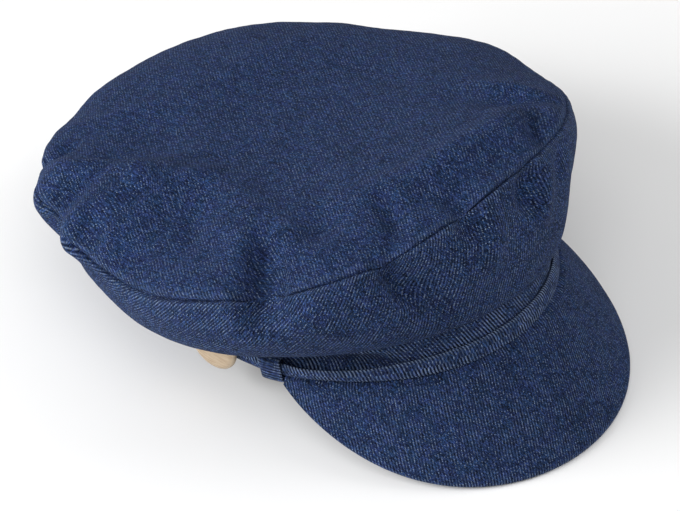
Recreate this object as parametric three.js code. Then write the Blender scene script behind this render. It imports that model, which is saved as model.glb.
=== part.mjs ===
import * as THREE from 'three';

// Baker boy cap in navy denim, lying on a table as it would by itself.
// Millimetres, +Z up, the peak toward -Y and the wearer's right side toward -X.
// The cap is drawn level, with the head band's lower edge near z = 0, and is then
// tipped back until the peak's edge and the rear of the head band touch the table.
// Angles are in degrees round the head: 0 at the front, growing toward +X.

// how the cap lies
const restTip = 12.7;
const restLift = 21.5;
const centreShiftX = -2.2;
const centreShiftY = -11.8;

// head band
const bandHalfWidth = 82;
const bandHalfLength = 98;
const bandBottom = -1;
const bandTop = 24;
const bandWall = 2;

// crown cloth
const clothWall = 1.5;
const crownCentreY = 25.5;
const crownRise = 13;
const crownRoundness = 6;
const seamGap = 0.2;
const sideStart = 27;
const sideEndOut = 0.3;
const sideEndLift = 0.3;
const bellyReach = 0.55;

// The crown seam and the side panel under it, a row every 30 degrees.
// seamR and seamZ place the seam, puff pushes the side panel out just under the seam,
// and sag is how far the side panel hangs below the head band's top edge.
const crownSections = [
  { at: -180, seamR: 128, seamZ: 69.5, puff: 13, sag: 9 },
  { at: -150, seamR: 129, seamZ: 70, puff: 10.5, sag: 9 },
  { at: -120, seamR: 123, seamZ: 70, puff: 3.5, sag: 9 },
  { at: -90, seamR: 117.5, seamZ: 55, puff: 7.5, sag: 10 },
  { at: -60, seamR: 127.5, seamZ: 64.5, puff: 11, sag: 7.5 },
  { at: -30, seamR: 129, seamZ: 71, puff: 12, sag: 11.5 },
  { at: 0, seamR: 127, seamZ: 79.5, puff: 11, sag: 20 },
  { at: 30, seamR: 129, seamZ: 75.5, puff: 8.5, sag: 16 },
  { at: 60, seamR: 121, seamZ: 62.5, puff: 12, sag: 11 },
  { at: 90, seamR: 120, seamZ: 56.5, puff: 13, sag: 9 },
  { at: 120, seamR: 120, seamZ: 60, puff: 13.5, sag: 8.5 },
  { at: 150, seamR: 125.5, seamZ: 68, puff: 13.5, sag: 8.5 },
];

// Dents (height below zero) and puffs (height above zero) of the crown cloth.
// at and wide are the fold's middle and half width in degrees. mid and long are its middle
// and half length down the cloth: 0 at the crown's middle, 1 at the seam, 2 at the band.
const crownFolds = [
  { at: -160, wide: 10, mid: 0.97, long: 0.35, height: -2 },
  { at: -147, wide: 9, mid: 0.97, long: 0.35, height: 1 },
  { at: -131.5, wide: 7, mid: 1, long: 0.35, height: -1.5 },
  { at: -124.5, wide: 11, mid: 1, long: 0.3, height: 4.5 },
  { at: -115, wide: 8, mid: 1, long: 0.4, height: -6 },
  { at: -110, wide: 10, mid: 0.87, long: 0.3, height: 13.5 },
  { at: -54, wide: 7, mid: 1, long: 0.5, height: -5.5 },
  { at: -38, wide: 10, mid: 0.78, long: 0.22, height: -4 },
  { at: -21, wide: 8, mid: 1.35, long: 0.33, height: -5 },
  { at: 34, wide: 14, mid: 1.45, long: 0.35, height: -5 },
  { at: 35.5, wide: 9, mid: 0.82, long: 0.22, height: -4.5 },
  { at: 85, wide: 20, mid: 0.97, long: 0.4, height: 2.5 },
  { at: 113, wide: 12, mid: 1.15, long: 0.4, height: -3 },
  { at: 150, wide: 12, mid: 1.3, long: 0.4, height: -2.5 },
];

// peak
const peakThickness = 3;
const peakRootOut = 2;
const peakRootZ = -0.6;
const peakSeatOut = 0.35;
const peakSeatTop = 0.1;
const peakSeatBottom = -3.4;
const peakSpread = 75.3;
const peakCut = 0.976;
const peakReach = 61;
const peakRoundness = 0.88;
const peakSplay = 2.25;
const peakDrop = 56.8;
const peakEndDrop = 1.8;
const peakCamber = 1.5;

// strap, keepers and buttons
const strapBottom = 0.4;
const strapTop = 7.9;
const strapEnd = 99;
const strapThickness = 1.5;
const strapGapBottom = 0.4;
const strapGapTop = 1.2;
const keeperAt = 77.5;
const keeperHalfSpan = 3.4;
const keeperThickness = 1.1;
const buttonAt = 96;
const buttonZ = 7.8;
const buttonRadius = 13;
const buttonBack = 5;
const buttonTurn = 12;

// columns of the grids: the peak's are bunched toward its ends
const crownColumns = 80;
const bandColumns = 80;
const peakColumns = 44;
const peakBunching = 83;
const buttonColumns = 28;

const denim = () => new THREE.MeshStandardMaterial({ color: 0x2b3a63, roughness: 0.92, metalness: 0 });
const shadeDenim = () => new THREE.MeshStandardMaterial({ color: 0x26345a, roughness: 0.92, metalness: 0 });
const paleWood = () => new THREE.MeshStandardMaterial({ color: 0xddbf91, roughness: 0.55, metalness: 0 });

const radians = (degrees) => (degrees * Math.PI) / 180;
const vec = (x, y, z) => new THREE.Vector3(x, y, z);
const outward = (angle) => vec(Math.sin(radians(angle)), -Math.cos(radians(angle)), 0);
const turnBetween = (from, to) => ((((to - from + 180) % 360) + 360) % 360) - 180;

// a value of the section table at any angle, on a smooth closed curve through the rows
function sectionValue(name, angle) {
  const count = crownSections.length;
  const place = ((angle + 180) / 360) * count;
  const row = Math.floor(place);
  const t = place - row;
  const value = (k) => crownSections[(((row + k) % count) + count) % count][name];
  const [a, b, c, d] = [value(-1), value(0), value(1), value(2)];
  return b + 0.5 * t * (c - a + t * (2 * a - 5 * b + 4 * c - d + t * (3 * (b - c) + d - a)));
}

const seamHeights = crownSections.map((section) => section.seamZ);
const meanSeamZ = seamHeights.reduce((sum, z) => sum + z, 0) / seamHeights.length;

// a point of the smooth crown: down from 0 at the middle to 1 at the seam and 2 at the band
function smoothCrown(angle, down) {
  const seamR = sectionValue('seamR', angle);
  const seamZ = sectionValue('seamZ', angle);
  const middle = vec(0, crownCentreY, 0);
  if (down <= 1) {
    const z = meanSeamZ + (seamZ - meanSeamZ) * down ** 2 + crownRise * (1 - down ** crownRoundness);
    return outward(angle).multiplyScalar(seamR * down).add(middle).setZ(z);
  }
  const t = down - 1;
  const seam = outward(angle).multiplyScalar(seamR).add(middle).setZ(seamZ);
  const end = onBand(angle, sideEndOut, bandTop + sideEndLift);
  const under = outward(angle).multiplyScalar(sectionValue('puff', angle)).add(seam);
  under.z -= sideStart;
  const belly = end.clone().lerp(seam, bellyReach).setZ(end.z - sectionValue('sag', angle));
  return new THREE.CubicBezierCurve3(seam, under, belly, end).getPoint(t);
}

// a point on the head band's outer face, moved out from it
function onBand(angle, out, z) {
  const x = (bandHalfWidth + out) * Math.sin(radians(angle));
  const y = -(bandHalfLength + out) * Math.cos(radians(angle));
  return vec(x, y, z);
}

function foldHeight(angle, down) {
  let height = 0;
  for (const fold of crownFolds) {
    const across = Math.abs(turnBetween(fold.at, angle)) / fold.wide;
    const along = Math.abs(down - fold.mid) / fold.long;
    if (across < 1 && along < 1) {
      height += fold.height * Math.cos((Math.PI / 2) * across) ** 2 * Math.cos((Math.PI / 2) * along) ** 2;
    }
  }
  return height;
}

// the outward normal of a surface given as a function of angle and distance down
function surfaceNormal(surface, angle, down, step) {
  const low = Math.min(down + step, 2);
  const along = surface(angle, low).sub(surface(angle, Math.max(down - step, 0.001)));
  const across = surface(angle + 1.5, down).sub(surface(angle - 1.5, down));
  return across.cross(along).normalize().negate();
}

function crownPoint(angle, down) {
  const normal = surfaceNormal(smoothCrown, angle, down, 0.04);
  return smoothCrown(angle, down).addScaledVector(normal, foldHeight(angle, down));
}

// the cap's resting place: tipped back, lifted onto the table and centred
function rested(point) {
  const tip = radians(restTip);
  const y = point.y * Math.cos(tip) + point.z * Math.sin(tip) + centreShiftY;
  const z = -point.y * Math.sin(tip) + point.z * Math.cos(tip) + restLift;
  return vec(point.x + centreShiftX, y, Math.max(z, 0));
}

// One closed solid from two matching grids of points, the outer and the inner face.
// A round grid joins its last column to its first. A pole's first row is one point.
function slab(name, material, outer, inner, { round = false, pole = false } = {}) {
  const rows = outer.length;
  const columns = outer[0].length;
  const points = [];
  const index = [outer, inner].map((grid) =>
    grid.map((row, i) => {
      if (pole && i === 0) {
        points.push(rested(row[0]));
        return row.map(() => points.length - 1);
      }
      return row.map((point) => points.push(rested(point)) - 1);
    }),
  );
  const faces = [];
  const quad = (a, b, c, d) => {
    if (new Set([a, b, c]).size === 3) faces.push([a, b, c]);
    if (new Set([a, c, d]).size === 3) faces.push([a, c, d]);
  };
  const [top, under] = index;
  const lastColumn = round ? columns : columns - 1;
  for (let j = 0; j < lastColumn; j += 1) {
    const k = (j + 1) % columns;
    for (let i = 0; i < rows - 1; i += 1) {
      quad(top[i][j], top[i + 1][j], top[i + 1][k], top[i][k]);
      quad(under[i][j], under[i][k], under[i + 1][k], under[i + 1][j]);
    }
    const end = rows - 1;
    quad(top[end][j], under[end][j], under[end][k], top[end][k]);
    if (!pole) quad(top[0][j], top[0][k], under[0][k], under[0][j]);
  }
  if (!round) {
    const last = columns - 1;
    for (let i = 0; i < rows - 1; i += 1) {
      quad(top[i][0], under[i][0], under[i + 1][0], top[i + 1][0]);
      quad(top[i][last], top[i + 1][last], under[i + 1][last], under[i][last]);
    }
  }
  if (signedVolume(points, faces) < 0) faces.forEach((face) => face.reverse());
  const geometry = new THREE.BufferGeometry();
  geometry.setAttribute('position', new THREE.Float32BufferAttribute(points.flatMap((p) => p.toArray()), 3));
  geometry.setIndex(faces.flat());
  geometry.computeVertexNormals();
  const mesh = new THREE.Mesh(geometry, material);
  mesh.name = name;
  return mesh;
}

function signedVolume(points, faces) {
  return faces.reduce((sum, [a, b, c]) => sum + points[a].dot(points[b].clone().cross(points[c])) / 6, 0);
}

const evenAngles = (count) => Array.from({ length: count }, (_, j) => -180 + (360 * j) / count);
const evenSteps = (from, to, count) =>
  Array.from({ length: count + 1 }, (_, j) => from + ((to - from) * j) / count);

// crown cloth between two places down the surface, with its wall toward the inside
function crownCloth(name, downs, options) {
  const angles = evenAngles(crownColumns);
  const outer = downs.map((down) => angles.map((angle) => crownPoint(angle, down)));
  const inner = downs.map((down, i) =>
    angles.map((angle, j) => {
      const normal = surfaceNormal(crownPoint, angle, down, 0.03);
      return outer[i][j].clone().addScaledVector(normal, -clothWall);
    }),
  );
  if (options.pole) {
    inner[0] = inner[0].map(() => outer[0][0].clone().add(vec(0, 0, -clothWall)));
  }
  return slab(name, denim(), outer, inner, { round: true, ...options });
}

function topPanel() {
  const rim = 1 - seamGap / 128;
  return crownCloth('top_panel', [0, 0.2, 0.4, 0.56, 0.68, 0.78, 0.86, 0.92, 0.965, rim], { pole: true });
}

function sidePanel() {
  const start = 1 + seamGap / (3 * sideStart);
  return crownCloth('side_panel', [start, 1.06, 1.15, 1.27, 1.4, 1.54, 1.67, 1.79, 1.9, 2], {});
}

function headBand() {
  const angles = evenAngles(bandColumns);
  const rim = (out) => [bandTop, bandBottom].map((z) => angles.map((angle) => onBand(angle, out, z)));
  return slab('head_band', shadeDenim(), rim(0), rim(-bandWall), { round: true });
}

// the peak's middle surface: side from -1 to 1 along the root, reach from 0 to 1 toward the edge
function peakSurface(side, reach) {
  const angle = side * peakSpread;
  const root = onBand(angle, peakRootOut, peakRootZ);
  const splay = vec(peakSplay * Math.sin(radians(angle)), -Math.cos(radians(angle)), 0).normalize();
  const width = peakReach * Math.cos((Math.PI / 2) * side) ** peakRoundness;
  const drop = radians(peakDrop + peakEndDrop * side ** 2);
  const edge = splay.clone().multiplyScalar(width * Math.cos(drop)).add(root);
  edge.z -= width * Math.sin(drop);
  const camber = peakCamber * 4 * reach * (1 - reach) * (width / peakReach);
  const lift = splay.clone().multiplyScalar(Math.sin(drop)).setZ(Math.cos(drop)).multiplyScalar(camber);
  return root.lerp(edge, reach).add(lift);
}

function peakNormal(side, reach) {
  const along = peakSurface(side + 0.004, reach).sub(peakSurface(side - 0.004, reach));
  const out = peakSurface(side, reach + 0.01).sub(peakSurface(side, reach - 0.01));
  return out.cross(along).normalize();
}

function peak() {
  const bunched = (step) => Math.sin(radians(peakBunching * step)) / Math.sin(radians(peakBunching));
  const sides = evenSteps(-1, 1, peakColumns).map((step) => peakCut * bunched(step));
  const rim = [
    { reach: 0.07, half: 1 },
    { reach: 0.22, half: 1 },
    { reach: 0.4, half: 1 },
    { reach: 0.6, half: 1 },
    { reach: 0.8, half: 1 },
    { reach: 0.97, half: 1 },
    { reach: 0.992, half: 0.75 },
    { reach: 1, half: 0.35 },
  ];
  const face = (sign, seatZ) => [
    sides.map((side) => onBand(side * peakSpread, peakSeatOut, seatZ)),
    ...rim.map(({ reach, half }) =>
      sides.map((side) => {
        const offset = (sign * half * peakThickness) / 2;
        return peakSurface(side, reach).addScaledVector(peakNormal(side, reach), offset);
      }),
    ),
  ];
  return slab('peak', denim(), face(1, peakSeatTop), face(-1, peakSeatBottom));
}

function strap() {
  const angles = evenSteps(-strapEnd, strapEnd, 66);
  const face = (out) => [
    angles.map((angle) => onBand(angle, strapGapTop + out, strapTop)),
    angles.map((angle) => onBand(angle, strapGapBottom + out, strapBottom)),
  ];
  return slab('strap', denim(), face(strapThickness), face(0));
}

// a cloth loop over the strap: its path is given as distance out from the band and height
function keeper(name, sign) {
  const path = [
    { out: 0.35, z: 9.2 },
    { out: 3.0, z: 9.2 },
    { out: 3.9, z: 8.4 },
    { out: 4.0, z: 4 },
    { out: 3.9, z: -1.2 },
    { out: 3.1, z: -2.2 },
    { out: 0.8, z: -0.9 },
  ];
  const angles = evenSteps(-keeperHalfSpan, keeperHalfSpan, 4).map((step) => sign * keeperAt + step);
  const face = (offset) =>
    path.map(({ out, z }, i) => {
      const before = path[Math.max(i - 1, 0)];
      const after = path[Math.min(i + 1, path.length - 1)];
      const length = Math.hypot(after.out - before.out, after.z - before.z);
      const across = { out: (before.z - after.z) / length, z: (after.out - before.out) / length };
      return angles.map((angle) => onBand(angle, out + across.out * offset, z + across.z * offset));
    });
  return slab(name, denim(), face(keeperThickness / 2), face(-keeperThickness / 2));
}

// a plain round button, softly domed, over the strap's end and turned a little to the front
function button(name, sign) {
  const profile = [
    { r: 0, front: 4.2, back: 0 },
    { r: 0.5, front: 4.1, back: 0 },
    { r: 0.78, front: 3.8, back: 0 },
    { r: 0.92, front: 3.2, back: 0.2 },
    { r: 0.985, front: 2.5, back: 0.8 },
    { r: 1, front: 1.9, back: 1.4 },
  ];
  const centre = onBand(sign * buttonAt, buttonBack, buttonZ);
  const up = vec(0, 0, 1);
  const tangent = onBand(sign * buttonAt + 1, 0, 0)
    .sub(onBand(sign * buttonAt - 1, 0, 0))
    .normalize()
    .applyAxisAngle(up, radians(-sign * buttonTurn));
  const out = tangent.clone().cross(up);
  const face = (side) =>
    profile.map((ring) =>
      evenAngles(buttonColumns).map((angle) =>
        centre
          .clone()
          .addScaledVector(tangent, ring.r * buttonRadius * Math.cos(radians(angle)))
          .addScaledVector(up, ring.r * buttonRadius * Math.sin(radians(angle)))
          .addScaledVector(out, ring[side]),
      ),
    );
  return slab(name, paleWood(), face('front'), face('back'), { round: true, pole: true });
}

const cap = new THREE.Group();
cap.name = 'baker_boy_cap';
cap.add(topPanel(), sidePanel(), headBand(), peak(), strap());
cap.add(keeper('keeper_right', -1), keeper('keeper_left', 1));
cap.add(button('button_right', -1), button('button_left', 1));

export default cap;
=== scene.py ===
import math

import bpy
import numpy as np
from bpy.props import FloatProperty, FloatVectorProperty, IntProperty, PointerProperty
from bpy.types import Operator, Panel, PropertyGroup
from mathutils import Matrix, Vector


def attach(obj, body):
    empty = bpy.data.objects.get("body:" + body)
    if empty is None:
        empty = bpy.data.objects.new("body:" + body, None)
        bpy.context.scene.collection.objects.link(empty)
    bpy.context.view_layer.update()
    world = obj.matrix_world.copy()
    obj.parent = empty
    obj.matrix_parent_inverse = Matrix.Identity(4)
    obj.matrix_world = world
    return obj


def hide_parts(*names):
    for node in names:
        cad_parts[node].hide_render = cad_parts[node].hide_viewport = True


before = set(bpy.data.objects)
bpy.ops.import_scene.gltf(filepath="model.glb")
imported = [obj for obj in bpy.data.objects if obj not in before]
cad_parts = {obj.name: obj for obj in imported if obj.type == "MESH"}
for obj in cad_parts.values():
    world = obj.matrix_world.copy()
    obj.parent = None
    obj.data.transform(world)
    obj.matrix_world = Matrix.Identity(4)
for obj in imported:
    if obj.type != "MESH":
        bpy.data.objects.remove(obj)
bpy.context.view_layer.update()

bl_info = {
    "name": "Baker Boy Cap",
    "version": (1, 0, 0),
    "blender": (4, 5, 0),
    "location": "View3D > Sidebar > Cap",
    "description": "Makes a baker boy cap of denim cloth with a strap and wooden buttons",
    "category": "Add Mesh",
}

# The cap is worked out in millimetres as it would be worn, then tipped back onto the table.
# Angles are in degrees round the head: 0 at the front, growing toward +X.
REST_TIP = 12.7
REST_LIFT = 21.5
CENTRE_SHIFT_X = -2.2
CENTRE_SHIFT_Y = -11.8

BAND_HALF_WIDTH = 82
BAND_HALF_LENGTH = 98
BAND_BOTTOM = -1
BAND_TOP = 24
BAND_WALL = 2
BAND_EDGE = 0.3
BAND_HEM = 1.1
BAND_ROWS = 26
BAND_INNER_ROWS = 12
# how far the band is drawn in behind the strap, and the middle and half size of that place
BAND_RECESS = 6
BAND_RECESS_AT = -57
BAND_RECESS_Z = 7.5
BAND_RECESS_SPAN = 15
BAND_RECESS_HEIGHT = 7

CLOTH_WALL = 1.5
CROWN_CENTRE_Y = 25.5
CROWN_RISE = 13
CROWN_ROUNDNESS = 6
SEAM_GAP = 0.03
# rough measures along the cloth: the top's radius, its length over its radius near the seam,
# and the way from the seam to the band
SEAM_RADIUS = 128
TOP_BOW = 1.12
SIDE_LENGTH = 86
SIDE_START = 27
SIDE_END_OUT = 0.3
SIDE_END_LIFT = 0.3
BELLY_REACH = 0.55
# steps round and down that a normal is worked out with
NORMAL_TURN = 1.5
NORMAL_STEP = 0.03

# share of the height, size in mm and seed of each layer of wrinkles and of seam puckers
WRINKLES = [(1.1, 42, 3), (0.6, 19, 4), (0.28, 9, 5), (0.12, 4, 6)]
PUCKERS = [(1, 7, 8), (0.6, 3.5, 9)]
# the crown seam, in mm: its length for a degree, how far its puckers, its narrow and wide dip
# and its leaning reach, how the dip deepens and fades along it, and the place, reach and height
# of the low roll of cloth and of the worn line beside it
SEAM_PER_DEGREE = 2.2
SIDE_PUCKER_SHIFT = 40.0
PUCKER_REACH = 7
DIP_REACH = 0.6
WIDE_DIP_REACH = 1.8
WIDE_DIP_SHARE = 0.35
PINCH_SWING = 1.4
PINCH_SIZE = 26
PINCH_RANGE = (0.25, 1.9)
LEAN_REACH = 4
ROLL_AT = 2.8
ROLL_REACH = 1.9
ROLL_TOP = 0.2
ROLL_SIDE = 0.4
WORN_AT = 2
WORN_REACH = 1.2
WORN_SHARE = 0.2

# angle, seam radius, seam height, puff under the seam, sag below the band's top edge
CROWN_SECTIONS = np.array([
    (-180, 128, 69.5, 13, 9),
    (-150, 129, 70, 10.5, 9),
    (-120, 123, 70, 3.5, 9),
    (-90, 117.5, 55, 7.5, 10),
    (-60, 127.5, 64.5, 11, 7.5),
    (-30, 129, 71, 12, 11.5),
    (0, 127, 79.5, 11, 20),
    (30, 129, 75.5, 8.5, 16),
    (60, 121, 62.5, 12, 11),
    (90, 120, 56.5, 13, 9),
    (120, 120, 60, 13.5, 8.5),
    (150, 125.5, 68, 13.5, 8.5),
])
SEAM_R, SEAM_Z, PUFF, SAG = 1, 2, 3, 4
MEAN_SEAM_Z = CROWN_SECTIONS[:, SEAM_Z].mean()

# angle, half width, middle and half length down the cloth, height
CROWN_FOLDS = [
    (-160, 10, 0.97, 0.35, -2),
    (-147, 9, 0.97, 0.35, 1),
    (-131.5, 7, 1, 0.35, -1.5),
    (-124.5, 11, 1, 0.3, 4.5),
    (-115, 8, 1, 0.4, -6),
    (-110, 10, 0.87, 0.3, 13.5),
    (-54, 7, 1, 0.5, -5.5),
    (-38, 10, 0.78, 0.22, -4),
    (-21, 8, 1.35, 0.33, -5),
    (34, 14, 1.45, 0.35, -5),
    (35.5, 9, 0.82, 0.22, -4.5),
    (85, 20, 0.97, 0.4, 2.5),
    (113, 12, 1.15, 0.4, -3),
    (150, 12, 1.3, 0.4, -2.5),
]

# Soft creases of the crown cloth: half width in mm on the left and on the right going along it,
# height in mm, and the line that it follows, as angle and place down the cloth
CROWN_CREASES = [
    (9, 5, -5, [(-55.3, 0.7), (-54.2, 0.82), (-53.4, 0.93), (-53, 1.03), (-54, 1.12), (-56, 1.24)]),
    (9, 9, -4.3, [(-48.5, 0.74), (-47.5, 0.9), (-47.5, 1.05), (-50, 1.2)]),
    (2.4, 2.4, -4.4, [(-59.5, 0.99), (-54, 1.0), (-48.5, 0.99)]),
    (6, 6, 2.6, [(-62, 1.2), (-56, 1.28), (-50, 1.26)]),
    (9, 4.6, -10, [(-29.3, 0.96), (-28.5, 1.05), (-27.8, 1.14), (-26, 1.24), (-22.5, 1.34)]),
    (5, 5, -1.5, [(-23.5, 1.0), (-22, 1.12), (-19, 1.27)]),
    (6.5, 4.4, -4.2, [(-22.3, 0.7), (-21.8, 0.79), (-22.8, 0.89), (-26, 0.99)]),
    (5, 5, 1.8, [(-17, 0.72), (-17, 0.82), (-18, 0.93)]),
    (4, 4, -5, [(32, 0.84), (27, 0.88), (20, 0.94), (16, 1.0)]),
    (6, 6, 1, [(32, 0.75), (20, 0.81), (11, 0.87)]),
    (5, 5, 2.6, [(36, 0.94), (28, 0.96), (22, 0.99)]),
    (10, 12, 5.4, [
        (-36, 0.62), (-24, 0.67), (-10, 0.73), (3, 0.77), (15, 0.81), (28, 0.85), (42, 0.9)]),
    (8, 8, -2.6, [(-24, 0.84), (-12, 0.87), (0, 0.89), (12, 0.92)]),
    (6, 6, 3.6, [(54, 0.66), (45, 0.76), (41, 0.86), (38, 0.98)]),
    (60, 60, -4, [(170, 0.5), (170, 0.1), (-20, 0.1), (-25, 0.5)]),
    (24, 19, -5, [(-116, 0.5), (-138, 0.58), (-160, 0.66)]),
    (10, 10, 1.4, [(-113, 0.54), (-109, 0.66), (-106, 0.77), (-104, 0.88)]),
    (12, 12, 5, [
        (-136, 1.0), (-124, 0.85), (-118, 0.71), (-106, 0.57), (-84, 0.49), (-66, 0.54),
        (-57, 0.63)]),
    (8, 8, 4, [(-138, 1.0), (-128, 0.88), (-121, 0.76), (-112, 0.64)]),
    (8, 8, 4.2, [(-104, 0.78), (-101, 0.88), (-99, 0.96), (-98, 1.05)]),
    (16, 9, -2.4, [(-76, 0.36), (-50, 0.5), (-41, 0.65), (-34, 0.82)]),
    (9, 9, 2.4, [(-40, 0.78), (-37, 0.84), (-34, 0.92)]),
    (6, 6, 1.8, [(-64, 0.55), (-52, 0.68), (-44, 0.82), (-37, 0.96)]),
    (9, 9, -4, [(-88, 0.62), (-80, 0.7), (-77, 0.79), (-77, 0.9)]),
    (13, 13, 6, [(-103, 0.5), (-100, 0.66), (-98, 0.8), (-96, 1.0)]),
    (5, 5, -6.7, [(-143, 0.84), (-139.5, 0.93), (-138, 1.02), (-137, 1.15)]),
    (6, 6, -0.9, [(-116, 0.92), (-107, 0.92), (-100, 0.95), (-95, 0.99), (-90, 1.04)]),
    (7, 7, 2.4, [(-98, 1.06), (-86, 1.07), (-74, 1.06), (-64, 1.07)]),
    (5, 5, 1.6, [(-90, 0.95), (-80, 0.95), (-70, 0.96)]),
    (4, 4, -1.2, [(-46, 1.02), (-41, 1.05), (-36, 1.03)]),
    (10, 6, -7, [(10, 1.0), (7.5, 1.1), (5, 1.24)]),
    (10, 5, -7, [(-8.6, 0.86), (-8.8, 0.95), (-9.6, 1.04), (-9, 1.16)]),
    (6, 6, -2.4, [(24, 1.03), (20, 1.12), (17, 1.24)]),
    (7, 7, 3.8, [(15, 1.04), (12, 1.18), (9, 1.34)]),
    (7, 7, 3.6, [(-3, 1.04), (-5, 1.2), (-7, 1.38)]),
    (9, 9, -1.9, [(-20, 1.38), (-10, 1.5), (2, 1.6)]),
    (7, 7, 1.6, [(-46, 1.1), (-43, 1.24), (-38, 1.44)]),
    (8, 8, -3.2, [(64, 1.05), (67, 1.25), (65, 1.5)]),
    (7, 7, -2.2, [(99, 1.06), (101, 1.25), (98, 1.5)]),
    (8, 8, 1.6, [(120, 1.05), (123, 1.2), (121, 1.45)]),
    (7, 7, -2.2, [(139, 1.08), (136, 1.25), (139, 1.5)]),
    (9, 9, -2, [(170, 1.08), (173, 1.25), (170, 1.5)]),
    (10, 10, -1.2, [(60, 0.5), (85, 0.42), (118, 0.5)]),
    (8, 8, -4, [(-108, 0.7), (-109, 0.8), (-109, 0.92)]),
    (8, 8, -2, [(-130, 0.6), (-128, 0.75), (-126, 0.9)]),
    (8, 8, -2.5, [(-70, 0.7), (-68, 0.8), (-67, 0.92)]),
    (10, 10, -2, [(-150, 0.7), (-147, 0.82), (-146, 0.95)]),
    (8, 8, 3, [(-100, 0.55), (-95, 0.5), (-85, 0.45)]),
    (8, 8, 1.5, [(-88, 0.6), (-84, 0.72), (-82, 0.85), (-80, 0.95)]),
    (14, 14, -2.8, [(30, 0.5), (40, 0.6), (50, 0.75)]),
    (14, 14, -1.5, [(-180, 0.6), (-165, 0.7), (-160, 0.85)]),
]

PEAK_THICKNESS = 3
PEAK_ROOT_OUT = 2
PEAK_ROOT_Z = -0.6
PEAK_SEAT_OUT = 0.35
PEAK_SEAT_TOP = 0.1
PEAK_SEAT_BOTTOM = -3.4
PEAK_SPREAD = 75.3
PEAK_CUT = 0.976
PEAK_REACH = 61
PEAK_ROUNDNESS = 0.88
PEAK_SPLAY = 2.25
PEAK_DROP = 56.8
PEAK_END_DROP = 1.8
PEAK_CAMBER = 1.5
PEAK_BUNCHING = 83
PEAK_COLUMNS = 281
PEAK_ROWS = 50
PEAK_START = 0.07
PEAK_EDGE = 0.965
PEAK_EDGE_ROUND = 0.037
# shares of the way from the seat to the first row, and where they lie on the flat cloth
PEAK_SEAT_STEPS = np.array([0, 0.35, 0.7])
PEAK_SEAT_REACHES = [0, 0.025, 0.05]

STRAP_END = 99
STRAP_THICKNESS = 1.5
STRAP_COLUMNS = 330
STRAP_RADIUS = 93
STRAP_GIRTH = 18
# angle either way from the front, bottom and top height, gap to the band at bottom and top
STRAP_ROWS = np.array([
    (0, -0.6, 8.4, 1.6, 0.15),
    (25, -0.4, 8.3, 1.6, 0.15),
    (38, 0.2, 8.2, 1.7, 0.5),
    (50, 1.1, 8.0, 1.9, 2.4),
    (60, 1.5, 7.8, 2.1, 3.4),
    (68, 1.1, 7.4, 1.8, 3.1),
    (73.5, 0.4, 7.0, 1.0, 1.4),
    (78, 0.0, 6.8, 0.9, 1.1),
    (86, 0.4, 7.7, 0.5, 1.2),
    (99, 0.4, 7.9, 0.4, 1.2),
])
KEEPER_AT = 77.5
KEEPER_HALF_SPAN = 3.4
KEEPER_THICKNESS = 1.1
KEEPER_GIRTH = 22.6
KEEPER_COLUMNS = 64
# distance out from the band and height of points on the keeper's line round the strap
KEEPER_PATH = [
    (0.35, 9.2), (3.0, 9.2), (3.9, 8.4), (4.0, 4.0), (3.9, -1.2), (3.1, -2.2), (0.8, -0.9)]
# points round a section of the strap or a keeper
RING = 28
BUTTON_AT = 96
BUTTON_Z = 7.8
BUTTON_RADIUS = 13
BUTTON_BACK = 5
BUTTON_TURN = 12
# share of the button's radius and distance out from its back, in mm
BUTTON_FRONT = [(0, 4.2), (0.5, 4.1), (0.78, 3.8), (0.92, 3.2), (0.985, 2.5), (1, 1.9)]
BUTTON_REAR = [(0, 0), (0.5, 0), (0.78, 0), (0.92, 0.2), (0.985, 0.8), (1, 1.4)]
BUTTON_ROWS = 34
BUTTON_COLUMNS = 96

# the annulus that the side panel is cut from
SIDE_CUT_RADIUS = 207
SIDE_CUT_TURN = 0.614
SIDE_CUT_WIDTH = 90

# direction of the twill lines in degrees, their depth, contrast of the threads, strength of the
# wear, share of undyed thread along the lines, width of the threads
DENIMS = {
    "crown_top_denim": (55, 0.2, 1.3, 1.0, 0.03, 1),
    "crown_side_denim": (80, 0.33, 1.75, 1.0, 0.14, 0.97),
    "head_band_denim": (119, 0.85, 1.7, 1.2, 0.6, 1.15),
    "peak_denim": (69, 0.32, 1.5, 1.0, 0.17, 0.97),
    "strap_denim": (104, 0.75, 1.6, 1.2, 0.6, 1.2),
    "keeper_denim": (3, 0.7, 1.4, 1.2, 0.3, 1.15),
}

# name, degrees round from the picture's right, degrees above the table, size in m, share of power
STAGE_LIGHTS = [
    ("key_light", 195, 25, 1.2, 1),
    ("right_fill_light", 10, 30, 1.2, 0.26),
    ("front_fill_light", 270, 58, 1.4, 0.23),
]
LIGHT_DISTANCE = 2
STAGE_MIDDLE = Vector((0, -0.01, 0.05))
FLOOR_HALF_SIZE = 4
FLOOR_Z = -0.0004
# the camera's aim: a point in the cap, and how far right and up of it in the picture
AIM_POINT = Vector((-0.0022, -0.0118, 0.0615))
AIM_RIGHT = -0.01126
AIM_UP = -0.02225


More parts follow.
